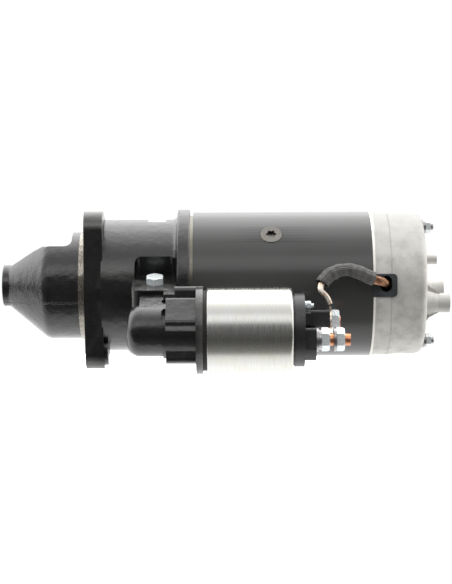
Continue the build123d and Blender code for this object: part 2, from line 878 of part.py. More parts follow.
with BuildPart() as armature_shaft:
    turned(
        (nose_bush_front + 1.5, 0),
        (nose_bush_front + 1.5, nose_journal_radius),
        (stop_ring_at, nose_journal_radius),
        (stop_ring_at, shaft_radius),
        (hub_front - 0.5, shaft_radius),
        (hub_front - 0.5, mid_journal_radius),
        (body_front + 2, mid_journal_radius),
        (body_front + 2, core_seat_radius),
        (commutator_end, core_seat_radius),
        (commutator_end, rear_journal_radius),
        (rear_bush_start + rear_bush_length - 1, rear_journal_radius),
        (rear_bush_start + rear_bush_length - 1, 0),
    )
    with BuildSketch(across_shaft(spline_start)):
        with PolarLocations(shaft_radius, 8):
            Rectangle(2 * spline_depth, 2)
    extrude(amount=hub_front - 3 - spline_start, mode=Mode.SUBTRACT)
save(armature_shaft, "armature_shaft")

with BuildPart() as armature_core:
    with BuildSketch(across_shaft(armature_start)):
        Circle(core_outer_radius)
        Circle(core_seat_radius + seat_gap, mode=Mode.SUBTRACT)
        with PolarLocations(core_outer_radius - slot_depth / 2 + 1, slot_count):
            Rectangle(slot_depth + 2, slot_width, mode=Mode.SUBTRACT)
    extrude(amount=armature_core_length)
save(armature_core, "armature_core")

bar_height = slot_depth - 1.2
end_ring_outer = core_outer_radius - 1.0
end_ring_inner = slot_bottom - 6
with BuildPart() as armature_windings:
    with BuildSketch(across_shaft(armature_start - end_winding_length)):
        with PolarLocations(slot_bottom + 0.2 + bar_height / 2, slot_count):
            Rectangle(bar_height, slot_width - 0.4)
    extrude(amount=armature_core_length + 2 * end_winding_length)
    shaft_ring(armature_start - end_winding_length, armature_start - 0.5, end_ring_outer, end_ring_inner)
    shaft_ring(armature_end + 0.5, armature_end + end_winding_length, end_ring_outer, end_ring_inner)
save(armature_windings, "armature_windings")

with BuildPart() as commutator:
    shaft_ring(commutator_start - 5, commutator_start, commutator_radius + 4, core_seat_radius + seat_gap)
    shaft_ring(commutator_start, commutator_end, commutator_radius, core_seat_radius + seat_gap)
    with BuildSketch(across_shaft(commutator_start - 5)):
        with PolarLocations(commutator_radius + 2, slot_count):
            Rectangle(6, 0.8)
    extrude(amount=commutator_length + 5, mode=Mode.SUBTRACT)
save(commutator, "commutator")

with BuildPart() as thrust_washer:
    washer_end = rear_bush_start - 0.4
    shaft_ring(washer_end - 1.2, washer_end, rear_journal_radius + 4, rear_journal_radius + seat_gap)
save(thrust_washer, "thrust_washer")

with BuildPart() as stop_ring:
    shaft_ring(
        stop_ring_at - stop_ring_length,
        stop_ring_at - 0.1,
        shaft_radius + 2.5,
        nose_journal_radius + seat_gap,
    )
save(stop_ring, "stop_ring")

# ---------------------------------------------------------------- pinion and clutch
pitch_radius = pinion_teeth * pinion_module / 2
tip_radius = pitch_radius + pinion_module
root_radius = pitch_radius - 1.25 * pinion_module
pinion_rear = pinion_front + pinion_length
tail_radius = shaft_radius + 5.5
clutch_front = pinion_rear + clutch_tail
clutch_rear = clutch_front + clutch_length
shell_face = 3.0
roller_end = clutch_rear - 7.0
sleeve_bore = shaft_radius + running_gap
sleeve_end = collar_at + collar_length / 2 + 1.0

with BuildPart() as pinion:
    with BuildSketch(across_shaft(pinion_front)):
        Circle(root_radius)
        with PolarLocations(0, pinion_teeth):
            tooth_pitch = pi * pinion_module
            with BuildLine():
                Polyline(
                    (root_radius - 1, -0.34 * tooth_pitch),
                    (pitch_radius, -0.25 * tooth_pitch),
                    (tip_radius, -0.10 * tooth_pitch),
                    (tip_radius, 0.10 * tooth_pitch),
                    (pitch_radius, 0.25 * tooth_pitch),
                    (root_radius - 1, 0.34 * tooth_pitch),
                    close=True,
                )
            make_face()
    extrude(amount=pinion_length)
    turned(
        (pinion_front, 0),
        (pinion_front, pitch_radius),
        (pinion_front + 2.5, tip_radius + 0.2),
        (pinion_rear, tip_radius + 0.2),
        (pinion_rear, 0),
        mode=Mode.INTERSECT,
    )
    shaft_ring(pinion_rear - 0.5, clutch_front, root_radius + 1)
    shaft_ring(clutch_front - 0.5, roller_end, tail_radius)
    shaft_ring(pinion_front, roller_end, shaft_radius + running_gap, mode=Mode.SUBTRACT)
save(pinion, "pinion")

roller_circle = tail_radius + 0.3 + roller_radius
with BuildPart() as clutch_shell:
    shaft_ring(clutch_front, clutch_rear, clutch_radius)
    chamfer(clutch_shell.edges().group_by(Axis.X)[-1], length=3)
    chamfer(clutch_shell.edges().group_by(Axis.X)[0], length=1.5)
    shaft_ring(clutch_front, roller_end + 0.4, tail_radius + 0.3, mode=Mode.SUBTRACT)
    with BuildSketch(across_shaft(clutch_front + shell_face)):
        with PolarLocations(roller_circle + 0.3, roller_count):
            Circle(roller_radius + 0.6)
    extrude(amount=roller_end - 0.3 - clutch_front - shell_face, mode=Mode.SUBTRACT)
    shaft_ring(clutch_rear - 7, clutch_rear, sleeve_bore, mode=Mode.SUBTRACT)
save(clutch_shell, "clutch_shell")

with BuildPart() as clutch_rollers:
    with BuildSketch(across_shaft(clutch_front + shell_face + 0.3)):
        with PolarLocations(roller_circle, roller_count):
            Circle(roller_radius)
    extrude(amount=roller_end - clutch_front - shell_face - 0.6)
save(clutch_rollers, "clutch_rollers")

with BuildPart() as drive_sleeve:
    shaft_ring(clutch_rear, sleeve_end, sleeve_radius, sleeve_bore)
    shaft_ring(clutch_rear, clutch_rear + 1.5, sleeve_radius + 4, sleeve_radius - 1)
    shaft_ring(collar_at + collar_length / 2 + 0.2, sleeve_end, sleeve_radius + 1.5, sleeve_radius - 1)
save(drive_sleeve, "drive_sleeve")

groove_half = pad_radius + 0.4
groove_radius = sleeve_radius + 1.6
with BuildPart() as shift_collar:
    collar_front = collar_at - collar_length / 2
    shaft_ring(collar_front, collar_front + collar_length, collar_radius, sleeve_radius + running_gap)
    groove_front = collar_at - groove_half
    groove_rear = collar_at + groove_half
    shaft_ring(groove_front, groove_rear, collar_radius + 1, groove_radius, Mode.SUBTRACT)
save(shift_collar, "shift_collar")

with BuildPart() as meshing_spring:
    spring_radius = sleeve_radius + 1.7
    coil(spring_radius, 1.1, clutch_rear + 1.7, collar_front - 0.3, 5, (0, 0, 0), (1, 0, 0))
save(meshing_spring, "meshing_spring")

# ---------------------------------------------------------------- fork lever and pivot bolt
rest_angle = radians(half_swing)
lever_x = Vector(1, 0, 0) * cos(rest_angle) + toward_solenoid * sin(rest_angle)
pivot_centre = Vector(pivot_at, 0, 0) + toward_solenoid * collar_arm
lever_pose = Plane(origin=pivot_centre, x_dir=lever_x, z_dir=-above_lever)
arm_inner = collar_radius + 0.3
arm_outer = arm_inner + fork_plate
yoke_low = collar_arm - 38.0
yoke_high = collar_arm - 31.0


def lever_point(along, reach, height):
    """A plane in the lever's own axes, with its origin at a point of the lever."""
    return Plane(
        origin=pivot_centre + lever_x * along + lever_pose.y_dir * reach + lever_pose.z_dir * height,
        x_dir=lever_x,
        z_dir=-above_lever,
    )


def lever_plate(low, high, *outline):
    """Adds a plate of the lever between two heights, in the lever's own axes."""
    with BuildSketch(lever_pose.offset(low)) as section:
        with BuildLine():
            Polyline(*outline, close=True)
        make_face()
    extrude(section.sketch, amount=high - low)


eye_neck = plunger_arm - plunger_rod_radius - 2
with BuildPart() as fork_lever:
    ring(lever_point(0, 0, -lever_hub_half), 2 * lever_hub_half, lever_hub_radius)
    lever_plate(
        -eye_half,
        eye_half,
        (-5.5, 0),
        (-2.8, eye_neck),
        (-2.8, plunger_arm),
        (2.8, plunger_arm),
        (2.8, eye_neck),
        (5.5, 0),
    )
    ring(lever_point(0, plunger_arm, -eye_half), 2 * eye_half, eye_radius)
    stem = ((-6, 0), (-5, -yoke_low), (5, -yoke_low), (6, 0))
    lever_plate(-lever_hub_half, lever_hub_half, *stem)
    yoke = ((-5, -yoke_low), (-5, -yoke_high), (5, -yoke_high), (5, -yoke_low))
    lever_plate(-arm_outer, arm_outer, *yoke)
    for low in (-arm_outer, arm_inner):
        arm = ((-5, -yoke_low), (-4, -collar_arm), (4, -collar_arm), (5, -yoke_low))
        lever_plate(low, low + fork_plate, *arm)
        ring(lever_point(0, -collar_arm, low), fork_plate, pad_radius + 1.8)
    ring(lever_point(0, -collar_arm, -arm_inner - 0.5), arm_inner - groove_radius, pad_radius)
    ring(lever_point(0, -collar_arm, groove_radius + 0.5), arm_inner - groove_radius, pad_radius)
    bolt_bore = pivot_bolt_radius + running_gap
    ring(lever_point(0, 0, -lever_hub_half), 2 * lever_hub_half, bolt_bore, mode=Mode.SUBTRACT)
save(fork_lever, "fork_lever")

bolt_origin = pivot_centre + above_lever * bridge_half
with BuildPart() as pivot_bolt:
    shank_plane = Plane(origin=bolt_origin, x_dir=(1, 0, 0), z_dir=-above_lever)
    ring(shank_plane, 2 * bridge_half - 4, pivot_bolt_radius)
    head_plane = Plane(origin=bolt_origin, x_dir=(1, 0, 0), z_dir=above_lever)
    hex_nut(head_plane, pivot_head_flats, pivot_head_height)
save(pivot_bolt, "pivot_bolt")

# ---------------------------------------------------------------- solenoid
plate_rear = can_front + can_plate
core_end = can_rear - 7.0
core_start = core_end - solenoid_core_length
plunger_rear = core_start - plunger_travel - 0.4
plunger_front = plunger_rear - plunger_length
core_flange_start = core_end - 11.0
core_flange_end = core_end - 4.0
lip_thickness = 1.5
with BuildPart() as solenoid_can:
    turned(
        (can_front, 0),
        (can_front, can_radius),
        (can_rear, can_radius),
        (can_rear, 0),
        corners=[((can_rear, can_radius), can_edge), ((can_front, can_radius), 0.8)],
        centre=solenoid_centre,
    )
    solenoid_ring(plate_rear, can_rear - lip_thickness, can_bore, mode=Mode.SUBTRACT)
    solenoid_ring(plate_rear, can_rear, cap_radius + 0.2, mode=Mode.SUBTRACT)
    solenoid_ring(can_front, plate_rear, plunger_bore, mode=Mode.SUBTRACT)
    for place in seat_screw_places:
        screw_hole = seat_screw_radius + seat_gap
        solenoid_ring(can_front, plate_rear, screw_hole, mode=Mode.SUBTRACT, place=place)
save(solenoid_can, "solenoid_can")

with BuildPart() as solenoid_gasket:
    solenoid_ring(seat_rear, can_front, gasket_radius, shaft_side_bore)
    for place in seat_screw_places:
        solenoid_ring(seat_rear, can_front, seat_screw_radius + 0.3, mode=Mode.SUBTRACT, place=place)
save(solenoid_gasket, "solenoid_gasket")

with BuildPart() as seat_screws:
    head_seat = core_front + seat_screw_recess
    for place in seat_screw_places:
        solenoid_ring(head_seat, plate_rear - 0.5, seat_screw_radius, place=place)
        solenoid_ring(head_seat - seat_screw_head, head_seat, seat_screw_head_radius, place=place)
        socket = across_solenoid(head_seat - seat_screw_head, place)
        with BuildSketch(socket):
            RegularPolygon(2.0, 6, major_radius=False)
        extrude(amount=2.2, mode=Mode.SUBTRACT)
save(seat_screws, "seat_screws")

with BuildPart() as coil_tube:
    tube_start = plate_rear + 0.3
    solenoid_ring(tube_start, core_flange_start - 0.3, plunger_bore + 3, plunger_radius + 0.2)
    waist_end = core_flange_start - 2.3
    solenoid_ring(tube_start + 2, waist_end, plunger_bore + 4, plunger_radius + 1.6, Mode.SUBTRACT)
    solenoid_ring(tube_start, tube_start + 2, can_bore - 1, plunger_radius + 0.2)
    solenoid_ring(core_flange_start - 2.3, core_flange_start - 0.3, can_bore - 1, plunger_radius + 0.2)
save(coil_tube, "coil_tube")

with BuildPart() as solenoid_coil:
    solenoid_ring(tube_start + 2.1, core_flange_start - 2.4, can_bore - 1.5, plunger_radius + 1.7)
save(solenoid_coil, "solenoid_coil")

rod_radius = 3.0
with BuildPart() as solenoid_core:
    solenoid_ring(core_start, core_end, plunger_radius)
    solenoid_ring(core_flange_start, core_flange_end, can_bore - seat_gap)
    solenoid_ring(core_start, core_end, rod_radius + 0.4, mode=Mode.SUBTRACT)
save(solenoid_core, "solenoid_core")

rod_front = eye_at - eye_radius - 3.0
window_half = eye_radius + 0.3
with BuildPart() as plunger:
    solenoid_ring(plunger_front, plunger_rear, plunger_radius)
    chamfer(plunger.edges().group_by(Axis.X)[-1], length=1.0)
    solenoid_ring(plunger_front, plunger_front + 10, 5 + seat_gap, mode=Mode.SUBTRACT)
save(plunger, "plunger")

with BuildPart() as plunger_rod:
    solenoid_ring(rod_front, plunger_front, plunger_rod_radius)
    solenoid_ring(plunger_front - 0.5, plunger_front + 9, 5)
    lever_block(
        (eye_at - window_half, eye_at + window_half),
        (solenoid_spacing - 10, solenoid_spacing + 10),
        eye_half + 0.4,
        mode=Mode.SUBTRACT,
    )
save(plunger_rod, "plunger_rod")

spring_wire = 0.9
with BuildPart() as spring_seat:
    spring_seat_front = eye_at + window_half + 2.5
    spring_seat_rear = spring_seat_front + 1.5
    spring_seat_radius = shaft_side_bore - 0.7
    solenoid_ring(spring_seat_front, spring_seat_rear, spring_seat_radius, plunger_rod_radius + seat_gap)
save(spring_seat, "spring_seat")

with BuildPart() as return_spring:
    spring_end = can_front - 0.2
    coil(
        shaft_side_bore - spring_wire - 0.3,
        spring_wire,
        0.1,
        spring_end - spring_seat_front - 1.5,
        7,
        (spring_seat_front + 1.5, solenoid_centre.Y, solenoid_centre.Z),
        (1, 0, 0),
    )
save(return_spring, "return_spring")

# ---------------------------------------------------------------- cap, contacts and terminals
chamber_rear = cap_rear - 3.5
chamber_radius = 23.0
cap_foot = core_flange_end + 0.2
head_thickness = 3.0
contact_gap = 2.3
contact_thickness = 2.0
contact_rear = chamber_rear - head_thickness - contact_gap
battery_top = cap_rear + battery_pedestal
motor_top = cap_rear + motor_pedestal


def cap_block(place, width, height, start, end):
    """Adds a pedestal block of the cap, kept within the cap's own disc."""
    with BuildSketch(across_solenoid(start)) as section:
        with Locations(place):
            RectangleRounded(width, height, 2.0)
        Circle(cap_radius - 0.6, mode=Mode.INTERSECT)
    extrude(section.sketch, amount=end - start)


with BuildPart() as solenoid_cap:
    solenoid_ring(cap_foot, can_rear - lip_thickness - 0.1, can_bore - seat_gap)
    solenoid_ring(can_rear - lip_thickness - 0.5, cap_front, cap_radius - 1.0)
    solenoid_ring(cap_front, cap_rear, cap_radius)
    cap_block((-10.5, -10.5), 27, 25, cap_rear - 1, battery_top)
    cap_block((12.0, 8.6), 25, 14, cap_rear - 1, motor_top)
    cap_block((-3, 8.6), 12, 12, cap_rear - 1, cap_rear + 5)
    solenoid_ring(cap_foot, chamber_rear, chamber_radius, mode=Mode.SUBTRACT)
    for place, top in ((battery_place, battery_top), (motor_place, motor_top)):
        solenoid_ring(chamber_rear, top, terminal_radius + seat_gap, mode=Mode.SUBTRACT, place=place)
    solenoid_ring(cap_rear - 4, cap_rear + 6, 1.5 + seat_gap, mode=Mode.SUBTRACT, place=trigger_place)
save(solenoid_cap, "solenoid_cap")

with BuildPart() as contact_bridge:
    bridge_angle = degrees(atan2(motor_place[1] - battery_place[1], motor_place[0] - battery_place[0]))
    with BuildSketch(across_solenoid(contact_rear - contact_thickness, turn=bridge_angle)):
        RectangleRounded(38, 13, 5)
    extrude(amount=contact_thickness)
    solenoid_ring(core_start + 0.5, contact_rear - contact_thickness + 0.5, rod_radius)
save(contact_bridge, "contact_bridge")


def terminal_stud(place, end):
    """Adds a threaded stud whose head lies in the contact chamber."""
    solenoid_ring(chamber_rear - head_thickness, chamber_rear, terminal_radius + 2.5, place=place)
    solenoid_ring(chamber_rear - 0.5, end, terminal_radius, place=place)
    pitch = 1.5
    root_radius = terminal_radius - 0.5
    groove_start = end - 9 * pitch
    for step in range(9):
        station = groove_start + step * pitch
        solenoid_ring(station, station + 0.6, terminal_radius + 1, root_radius, Mode.SUBTRACT, place)


nut_height = 6.2
nut_bore = terminal_radius + seat_gap
battery_washer = 2.1
battery_nut_1 = battery_top + 2 * battery_washer
battery_nut_2 = battery_nut_1 + nut_height + 5.4
battery_end = battery_nut_2 + nut_height + 4.6
lug_thickness = 1.6
motor_nut = motor_top + lug_thickness
motor_end = motor_nut + nut_height + 0.9

with BuildPart() as battery_stud:
    terminal_stud(battery_place, battery_end)
save(battery_stud, "battery_stud")

with BuildPart() as motor_stud:
    terminal_stud(motor_place, motor_end)
save(motor_stud, "motor_stud")

with BuildPart() as terminal_nuts:
    hex_nut(across_solenoid(battery_nut_1, battery_place), terminal_flats, nut_height, nut_bore)
    hex_nut(across_solenoid(battery_nut_2, battery_place), terminal_flats, nut_height, nut_bore)
    hex_nut(across_solenoid(motor_nut, motor_place), terminal_flats, nut_height, nut_bore)
save(terminal_nuts, "terminal_nuts")

with BuildPart() as terminal_washers:
    washer_radius = 9.4
    for start in (battery_top, battery_nut_2 - battery_washer):
        solenoid_ring(start, start + battery_washer - 0.2, washer_radius, nut_bore, place=battery_place)
    lock_start = battery_top + battery_washer
    lock_end = lock_start + battery_washer - 0.1
    solenoid_ring(lock_start, lock_end, washer_radius - 1.2, nut_bore, place=battery_place)
save(terminal_washers, "terminal_washers")

with BuildPart() as trigger_terminal:
    solenoid_ring(cap_rear - 3.5, cap_rear + 7.5, 1.5, place=trigger_place)
    solenoid_ring(cap_rear, cap_rear + 2.0, 3.6, 1.5, place=trigger_place)
    hex_nut(across_solenoid(cap_rear + 2.2, trigger_place), 6.0, 3.0, 1.5)
save(trigger_terminal, "trigger_terminal")

# ---------------------------------------------------------------- motor lead
stud_anchor = solenoid_centre + Vector(motor_top + lug_thickness / 2, *motor_place)
hole_anchor = Vector(cable_hole_station, -body_radius, 0)
lead_points = [stud_anchor + Vector(offset) for offset in lead_from_stud]
lead_points += [hole_anchor + Vector(offset) for offset in lead_from_hole]
lead_runs = [after - before for before, after in zip(lead_points, lead_points[1:])]
lead_bends = [
    0.45 * min(before.length, after.length) / tan(radians(before.get_angle(after)) / 2)
    for before, after in zip(lead_runs, lead_runs[1:])
]
print("lead bend radii", [round(bend, 1) for bend in lead_bends])


def tube_along(points, bends, outer, inner=0.0):
    """Adds a round tube along straight runs joined by tangent arcs."""
    with BuildLine() as route:
        FilletPolyline(*points, radius=bends)
    with BuildSketch(Plane(origin=points[0], z_dir=points[1] - points[0])) as section:
        Circle(outer)
        if inner:
            Circle(inner, mode=Mode.SUBTRACT)
    sweep(section.sketch, path=route.wires()[0])


with BuildPart() as cable_conductor:
    tube_along(lead_points, lead_bends, conductor_radius)
save(cable_conductor, "cable_conductor")

with BuildPart() as cable_sleeve:
    first_run = lead_runs[sleeve_first_corner - 1]
    last_run = lead_runs[sleeve_last_corner]
    sleeve_points = [
        lead_points[sleeve_first_corner] - first_run * sleeve_reach,
        *lead_points[sleeve_first_corner : sleeve_last_corner + 1],
        lead_points[sleeve_last_corner] + last_run * 0.5,
    ]
    sleeve_bends = lead_bends[sleeve_first_corner - 1 : sleeve_last_corner]
    tube_along(sleeve_points, sleeve_bends, lead_sleeve_radius, conductor_radius + 0.5)
save(cable_sleeve, "cable_sleeve")

with BuildPart() as cable_lug:
    lug_plane = across_solenoid(motor_top, motor_place)
    with BuildSketch(lug_plane):
        Circle(washer_radius - 0.4)
        with Locations((0, 6.0)):
            Rectangle(8.5, 12)
        Circle(nut_bore, mode=Mode.SUBTRACT)
    extrude(amount=lug_thickness - 0.1)
save(cable_lug, "cable_lug")
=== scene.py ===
import json
import math

import bpy
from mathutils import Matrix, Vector, noise


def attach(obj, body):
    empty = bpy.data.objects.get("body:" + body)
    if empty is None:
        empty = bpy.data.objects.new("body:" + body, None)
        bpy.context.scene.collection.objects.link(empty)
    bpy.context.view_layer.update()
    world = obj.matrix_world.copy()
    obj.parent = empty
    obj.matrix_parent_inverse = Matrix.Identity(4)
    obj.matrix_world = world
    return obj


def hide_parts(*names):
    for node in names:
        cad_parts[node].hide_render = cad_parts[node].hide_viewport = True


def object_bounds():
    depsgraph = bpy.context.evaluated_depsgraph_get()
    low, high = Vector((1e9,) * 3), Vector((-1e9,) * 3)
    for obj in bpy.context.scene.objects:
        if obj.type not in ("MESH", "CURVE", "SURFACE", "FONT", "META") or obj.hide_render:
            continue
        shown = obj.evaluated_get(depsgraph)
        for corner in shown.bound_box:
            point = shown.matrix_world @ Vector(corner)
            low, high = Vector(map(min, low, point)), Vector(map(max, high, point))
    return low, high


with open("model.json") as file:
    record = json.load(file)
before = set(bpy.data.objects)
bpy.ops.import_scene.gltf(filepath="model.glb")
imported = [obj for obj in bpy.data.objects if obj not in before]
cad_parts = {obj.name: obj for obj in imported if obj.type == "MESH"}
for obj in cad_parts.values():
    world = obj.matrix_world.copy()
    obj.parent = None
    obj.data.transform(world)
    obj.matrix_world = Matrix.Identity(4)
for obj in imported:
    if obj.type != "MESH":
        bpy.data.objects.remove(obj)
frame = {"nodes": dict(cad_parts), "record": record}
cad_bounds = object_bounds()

MM = 0.001
BODY = "starter"
nodes = frame["nodes"]
record = frame["record"]


# ------------------------------------------------------------------ material helpers
class Paint:
    """A node material on the object's own coordinates, in metres, built a node at a time."""

    def __init__(self, name):
        self.material = bpy.data.materials.new(name)
        self.material.use_nodes = True
        self.tree = self.material.node_tree
        self.shader = self.tree.nodes["Principled BSDF"]
        self.place = self.tree.nodes.new("ShaderNodeTexCoord").outputs["Object"]
        self.bump_normal = None

    def node(self, kind, **settings):
        made = self.tree.nodes.new(kind)
        for key, value in settings.items():
            setattr(made, key, value)
        return made

    def link(self, source, target):
        self.tree.links.new(source, target)

    def stretched(self, scale):
        """The coordinates scaled along each axis."""
        mapping = self.node("ShaderNodeMapping")
        mapping.inputs["Scale"].default_value = scale
        self.link(self.place, mapping.inputs["Vector"])
        return mapping.outputs["Vector"]

    def noise(self, size, detail=4.0, stretch=None, roughness=0.55):
        """Noise whose features are about `size` metres across."""
        made = self.node("ShaderNodeTexNoise")
        made.inputs["Scale"].default_value = 1.0 / size
        made.inputs["Detail"].default_value = detail
        made.inputs["Roughness"].default_value = roughness
        self.link(self.stretched(stretch) if stretch else self.place, made.inputs["Vector"])
        return made.outputs["Fac"]

    def spots(self, size):
        """Distance to scattered points about `size` metres apart."""
        made = self.node("ShaderNodeTexVoronoi")
        made.inputs["Scale"].default_value = 1.0 / size
        self.link(self.place, made.inputs["Vector"])
        return made.outputs["Distance"]

    def ramp(self, source, low, high, start=0.0, end=1.0):
        """Maps a value's range from low..high to start..end, held at both ends."""
        made = self.node("ShaderNodeMapRange")
        made.inputs["From Min"].default_value = low
        made.inputs["From Max"].default_value = high
        made.inputs["To Min"].default_value = start
        made.inputs["To Max"].default_value = end
        self.link(source, made.inputs["Value"])
        return made.outputs["Result"]

    def math(self, operation, first, second):
        made = self.node("ShaderNodeMath", operation=operation)
        for index, value in enumerate((first, second)):
            if isinstance(value, (int, float)):
                made.inputs[index].default_value = value
            else:
                self.link(value, made.inputs[index])
        return made.outputs[0]

    def between(self, source, low, high, soft):
        """1 where the value lies between low and high, 0 outside, with soft edges."""
        rise = self.ramp(source, low - soft, low + soft)
        fall = self.ramp(source, high - soft, high + soft, 1.0, 0.0)
        return self.math("MULTIPLY", rise, fall)

    def axis(self, name):
        made = self.node("ShaderNodeSeparateXYZ")
        self.link(self.place, made.inputs[0])
        return made.outputs[name]

    def edges(self, low=0.52, high=0.6):
        """1 on convex edges, from the mesh's pointiness."""
        geometry = self.node("ShaderNodeNewGeometry")
        return self.ramp(geometry.outputs["Pointiness"], low, high)

    def colours(self, factor, first, second):
        """A mix of two colours, each a triple or another node's colour."""
        made = self.node("ShaderNodeMix", data_type="RGBA")
        self.link(factor, made.inputs["Factor"])
        for socket, value in ((made.inputs[6], first), (made.inputs[7], second)):
            if isinstance(value, tuple):
                socket.default_value = (*value, 1.0)
            else:
                self.link(value, socket)
        return made.outputs[2]

    def bump(self, height, distance, strength=1.0):
        """Adds a layer of relief, `distance` metres deep."""
        made = self.node("ShaderNodeBump")
        made.inputs["Distance"].default_value = distance
        made.inputs["Strength"].default_value = strength
        self.link(height, made.inputs["Height"])
        if self.bump_normal:
            self.link(self.bump_normal, made.inputs["Normal"])
        self.bump_normal = made.outputs["Normal"]

    def finish(self, colour, roughness, metallic=0.0, **constants):
        """Links what varies and sets what is the same all over on the shader's sockets."""
        varying = {"Base Color": colour, "Roughness": roughness, "Metallic": metallic}
        for name, value in varying.items():
            socket = self.shader.inputs[name]
            if isinstance(value, tuple):
                socket.default_value = (*value, 1.0)
            elif isinstance(value, (int, float)):
                socket.default_value = value
            else:
                self.link(value, socket)
        for name, value in constants.items():
            self.shader.inputs[name.replace("_", " ")].default_value = value
        if self.bump_normal:
            self.link(self.bump_normal, self.shader.inputs["Normal"])
        return self.material


# ------------------------------------------------------------------ materials
# Where the finish changes along the shaft or in height, in metres: the machined pilot, the cover's
# bright rim at the tube, its low ridge and the painted shade that darkens its top, and the casting
# seam ahead of the flange
PILOT_FRONT = -5.05 * MM
PILOT_REAR = -0.05 * MM
LIP_FRONT = 232.1 * MM
LIP_REAR = 234.0 * MM
RIDGE_FRONT = 246.6 * MM
RIDGE_REAR = 247.4 * MM
TOP_SHADE_LOW = 22 * MM
TOP_SHADE_HIGH = 56 * MM
PARTING_LOW = -15.4 * MM
PARTING_HIGH = -14.2 * MM
PARTING_END = -5.5 * MM
SEAM_WANDER = 5 * MM


def housing_paint():
    """Black paint on rough cast iron with a casting seam, bare on the machined pilot."""
    paint = Paint("cast_iron_black_paint")
    lumps = paint.noise(9 * MM, detail=3)
    grain = paint.noise(1.1 * MM, detail=5)
    pits = paint.spots(2.6 * MM)
    dust = paint.ramp(paint.noise(14 * MM, detail=6), 0.45, 0.75, 0.0, 0.55)
    depth = paint.ramp(grain, 0.3, 0.7)
    black = paint.colours(depth, (0.004, 0.0042, 0.0045), (0.011, 0.011, 0.011))
    dusty = paint.colours(dust, black, (0.020, 0.0195, 0.018))
    rims = paint.math("MULTIPLY", paint.edges(0.53, 0.62), 0.55)
    worn = paint.colours(rims, dusty, (0.10, 0.098, 0.092))
    pilot = paint.between(paint.axis("X"), PILOT_FRONT, PILOT_REAR, 0.15 * MM)
    rust = paint.noise(2.5 * MM, detail=6, stretch=(3.0, 1.0, 1.0))
    bare = paint.colours(paint.ramp(rust, 0.35, 0.7), (0.34, 0.33, 0.30), (0.13, 0.10, 0.07))
    colour = paint.colours(pilot, worn, bare)
    rough = paint.ramp(paint.noise(5 * MM, detail=5), 0.3, 0.7, 0.16, 0.28)
    ragged = paint.noise(3.5 * MM, detail=6, roughness=0.75)
    wander = paint.math("MULTIPLY", ragged, SEAM_WANDER)
    height = paint.math("ADD", paint.axis("Z"), paint.math("SUBTRACT", wander, SEAM_WANDER / 2))
    seam = paint.between(height, PARTING_LOW, PARTING_HIGH, 0.25 * MM)
    ahead = paint.ramp(paint.axis("X"), PARTING_END - 0.2 * MM, PARTING_END, 1.0, 0.0)
    paint.bump(paint.math("MULTIPLY", seam, ahead), 0.7 * MM)
    paint.bump(lumps, 0.9 * MM, 0.55)
    paint.bump(grain, 0.14 * MM, 0.5)
    paint.bump(paint.ramp(pits, 0.0, 0.25), 0.12 * MM, 0.5)
    return paint.finish(colour, rough, paint.math("MULTIPLY", pilot, 0.8), Specular_IOR_Level=0.62)


def body_paint():
    """Satin black paint on the drawn steel tube, with a faint orange peel and handling marks."""
    paint = Paint("tube_satin_black")
    peel = paint.noise(1.6 * MM, detail=2)
    cloud = paint.noise(30 * MM, detail=5)
    scuffs = paint.ramp(paint.noise(3 * MM, detail=6, stretch=(0.12, 1.0, 1.0)), 0.66, 0.74)
    clouded = paint.ramp(cloud, 0.35, 0.7)
    black = paint.colours(clouded, (0.0035, 0.0037, 0.0042), (0.0075, 0.0078, 0.0088))
    marked = paint.colours(paint.math("MULTIPLY", scuffs, 0.25), black, (0.05, 0.05, 0.05))
    worn = paint.colours(paint.math("MULTIPLY", paint.edges(), 0.4), marked, (0.12, 0.12, 0.115))
    rubbed = paint.noise(4 * MM, detail=4, stretch=(0.25, 1.0, 1.0))
    rough = paint.ramp(rubbed, 0.3, 0.7, 0.15, 0.21)
    paint.bump(peel, 0.04 * MM, 0.3)
    return paint.finish(worn, rough, 0.0, Specular_IOR_Level=0.42)


def cast_aluminium():
    """Bare die-cast aluminium, sandy, with darker stains, a brighter rim and painted shade
    darkening the top.
    """
    paint = Paint("cast_aluminium")
    grain = paint.noise(0.9 * MM, detail=6, roughness=0.7)
    blotch = paint.noise(11 * MM, detail=6)
    stain = paint.ramp(blotch, 0.42, 0.68)
    light = paint.colours(paint.ramp(grain, 0.3, 0.7), (0.52, 0.51, 0.475), (0.64, 0.63, 0.60))
    colour = paint.colours(paint.math("MULTIPLY", stain, 0.5), light, (0.29, 0.27, 0.23))
    # painted shade: the colour grows darker with height to tone down the top, which the light from
    # above brightens
    top_shade = paint.ramp(paint.axis("Z"), TOP_SHADE_LOW, TOP_SHADE_HIGH, 0.0, 0.85)
    top_shaded = paint.colours(top_shade, colour, (0.33, 0.325, 0.31))
    edge = paint.colours(paint.math("MULTIPLY", paint.edges(), 0.6), top_shaded, (0.50, 0.49, 0.47))
    lip = paint.between(paint.axis("X"), LIP_FRONT, LIP_REAR, 0.1 * MM)
    trimmed = paint.colours(lip, edge, (0.86, 0.84, 0.78))
    rough = paint.ramp(grain, 0.25, 0.75, 0.42, 0.62)
    paint.bump(paint.between(paint.axis("X"), RIDGE_FRONT, RIDGE_REAR, 0.2 * MM), 0.5 * MM)
    paint.bump(grain, 0.16 * MM, 0.6)
    paint.bump(paint.noise(6 * MM, detail=3), 0.35 * MM, 0.4)
    return paint.finish(trimmed, rough, 0.15, Specular_IOR_Level=0.3)


